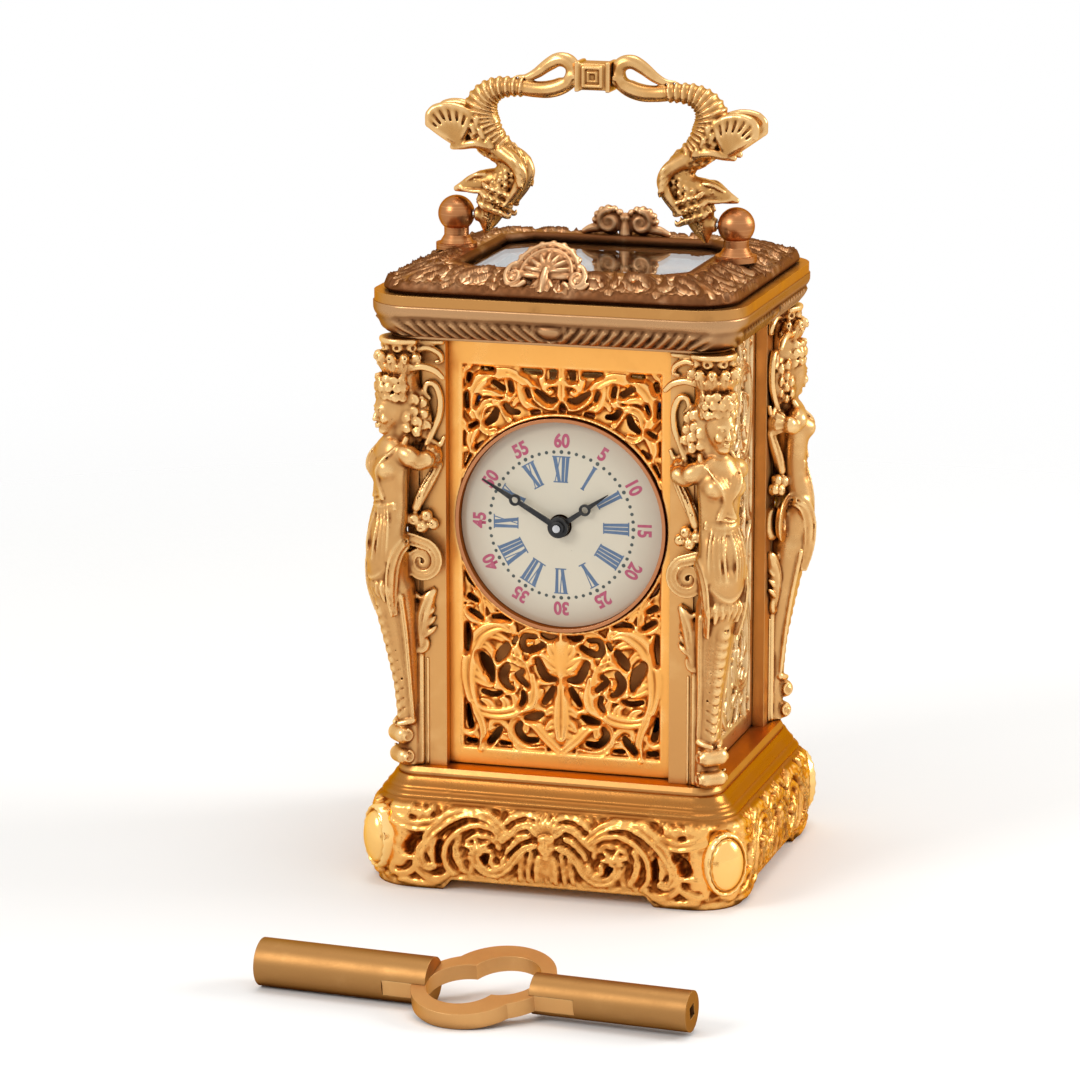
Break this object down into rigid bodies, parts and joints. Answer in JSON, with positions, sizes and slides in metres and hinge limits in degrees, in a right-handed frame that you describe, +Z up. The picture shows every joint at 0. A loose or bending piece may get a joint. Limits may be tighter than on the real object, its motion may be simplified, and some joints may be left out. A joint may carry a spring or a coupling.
{
  "type": "carriage clock",
  "caption": "Miniature gilt carriage clock: cast case with corner figures and pierced panels, enamel dial, swing handle, platform movement, hinged back door and separate key.",
  "frame": {"origin": "on the floor under the middle of the case", "axes": "+Z up, +X to the right seen from the dial side, +Y towards the back door"},
  "size_m": [0.0517, 0.0894, 0.0953],
  "materials": {
    "gilt_bright": "gilt, soft gloss, orange in the recesses",
    "gilt_posts": "gilt, worn, satin",
    "gilt_top": "gilt, worn, brownish",
    "lid_bronze": "gilt worn to a bronze brown, satin",
    "side_gilt": "pale gilt, bright edges",
    "copper_knobs": "turned, satin, coppery",
    "handle_gilt": "gilt, worn",
    "copper_rim": "polished copper colour",
    "enamel": "domed vitreous enamel, glossy",
    "black_steel": "blackened steel",
    "polished_steel": "polished",
    "blued_steel": "blued, polished",
    "movement_brass": "polished, lacquered",
    "platform_gilt": "gilt, frosted",
    "window_glass": "clear, bevelled",
    "key_brass": "aged brass, file marks"
  },
  "bodies": {
    "case": {"base_casting": "gilt_bright", "floor_plate": "movement_brass", "sill_frame": "gilt_posts", "corner_post_front_left": "gilt_posts", "corner_post_front_right": "gilt_posts", "corner_post_back_left": "gilt_posts", "corner_post_back_right": "gilt_posts", "caryatid_front_left": "gilt_posts", "caryatid_front_right": "gilt_posts", "caryatid_back_left": "gilt_posts", "caryatid_back_right": "gilt_posts", "case_screws": "blued_steel", "cornice": "gilt_top", "lid_plate": "gilt_top", "lid_casting": "lid_bronze", "lid_glass": "window_glass", "lid_crests": "lid_bronze", "knob_left": "copper_knobs", "knob_right": "copper_knobs", "front_panel": "gilt_bright", "dial_bezel": "copper_rim", "dial": "enamel", "side_panel_left": "side_gilt", "side_panel_right": "side_gilt", "movement_front_plate": "movement_brass", "movement_back_plate": "movement_brass", "plate_pillars": "movement_brass", "movement_seat": "movement_brass", "movement_screws": "blued_steel", "platform_plate": "platform_gilt", "escape_cock": "platform_gilt", "balance_cock": "platform_gilt", "hairspring": "blued_steel"},
    "minute": {"minute_hand": "black_steel", "hand_pin": "polished_steel", "centre_arbor": "polished_steel", "cannon_pinion": "polished_steel"},
    "hour": {"hour_hand": "black_steel", "hour_wheel": "movement_brass"},
    "minute_wheel_body": {"minute_wheel": "movement_brass"},
    "centre": {"centre_wheel": "movement_brass"},
    "third": {"third_wheel": "movement_brass"},
    "contrate": {"contrate_wheel": "movement_brass"},
    "escape": {"escape_wheel": "polished_steel"},
    "balance": {"balance_wheel": "platform_gilt"},
    "barrel": {"mainspring_barrel": "movement_brass"},
    "winding": {"winding_arbor": "polished_steel", "ratchet_wheel": "polished_steel"},
    "click_body": {"click": "blued_steel"},
    "handle": {"handle_arm_left": "handle_gilt", "handle_arm_right": "handle_gilt", "handle_collar": "handle_gilt", "handle_pins": "polished_steel"},
    "door": {"door_frame": "gilt_posts", "door_panel": "side_gilt", "door_pins": "polished_steel", "door_pull": "gilt_posts"},
    "key": {"key_bow": "key_brass", "key_winding_pipe": "key_brass", "key_setting_pipe": "key_brass"}
  },
  "joints": [
    {"name": "minute_hand_turn", "type": "hinge", "parent": "case", "child": "minute", "pos_m": [0, 0, 0.0429], "axis": [0, 1, 0], "continuous": true},
    {"name": "hour_hand_turn", "type": "hinge", "parent": "case", "child": "hour", "pos_m": [0, 0, 0.0429], "axis": [0, 1, 0], "continuous": true},
    {"name": "minute_wheel_turn", "type": "hinge", "parent": "case", "child": "minute_wheel_body", "pos_m": [0.00278, 0, 0.03959], "axis": [0, 1, 0], "continuous": true},
    {"name": "contrate_turn", "type": "hinge", "parent": "case", "child": "contrate", "pos_m": [0, 0, 0.0522], "axis": [0, 1, 0], "continuous": true},
    {"name": "third_turn", "type": "hinge", "parent": "case", "child": "third", "pos_m": [0.00576, 0, 0.04859], "axis": [0, 1, 0], "continuous": true},
    {"name": "centre_turn", "type": "hinge", "parent": "case", "child": "centre", "pos_m": [0, 0, 0.0429], "axis": [0, 1, 0], "continuous": true},
    {"name": "barrel_turn", "type": "hinge", "parent": "case", "child": "barrel", "pos_m": [0, 0, 0.0324], "axis": [0, 1, 0], "continuous": true},
    {"name": "escape_turn", "type": "hinge", "parent": "case", "child": "escape", "pos_m": [0, 0.00062, 0.06], "axis": [0, 0, 1], "continuous": true},
    {"name": "balance_swing", "type": "hinge", "parent": "case", "child": "balance", "pos_m": [0, -0.00295, 0.062], "axis": [0, 0, 1], "range_deg": [-135, 135], "stiffness_Nm_per_rad": 0.00000025},
    {"name": "winding_turn", "type": "hinge", "parent": "case", "child": "winding", "pos_m": [0, 0, 0.0324], "axis": [0, 1, 0], "continuous": true},
    {"name": "click_lift", "type": "hinge", "parent": "case", "child": "click_body", "pos_m": [0.0052, 0.008, 0.0345], "axis": [0, 1, 0], "range_deg": [0, 14], "stiffness_Nm_per_rad": 0.00002},
    {"name": "handle_swing", "type": "hinge", "parent": "case", "child": "handle", "pos_m": [0, 0, 0.0761], "axis": [1, 0, 0], "range_deg": [-90, 90]},
    {"name": "door_swing", "type": "hinge", "parent": "case", "child": "door", "pos_m": [-0.01258, 0.0138, 0.039], "axis": [0, 0, 1], "range_deg": [0, 90]},
    {"name": "key_lift", "type": "slide", "parent": "case", "child": "key", "axis": [0, 0, 1], "range_m": [0, 0.06]}
  ],
  "couplings": [
    {"joint": "hour_hand_turn", "follows": "minute_hand_turn", "ratio": 0.083333},
    {"joint": "minute_wheel_turn", "follows": "minute_hand_turn", "ratio": -0.33333},
    {"joint": "third_turn", "follows": "contrate_turn", "ratio": -0.13333},
    {"joint": "centre_turn", "follows": "contrate_turn", "ratio": 0.016667},
    {"joint": "barrel_turn", "follows": "contrate_turn", "ratio": -0.0027778},
    {"joint": "escape_turn", "follows": "contrate_turn", "ratio": 10}
  ]
}
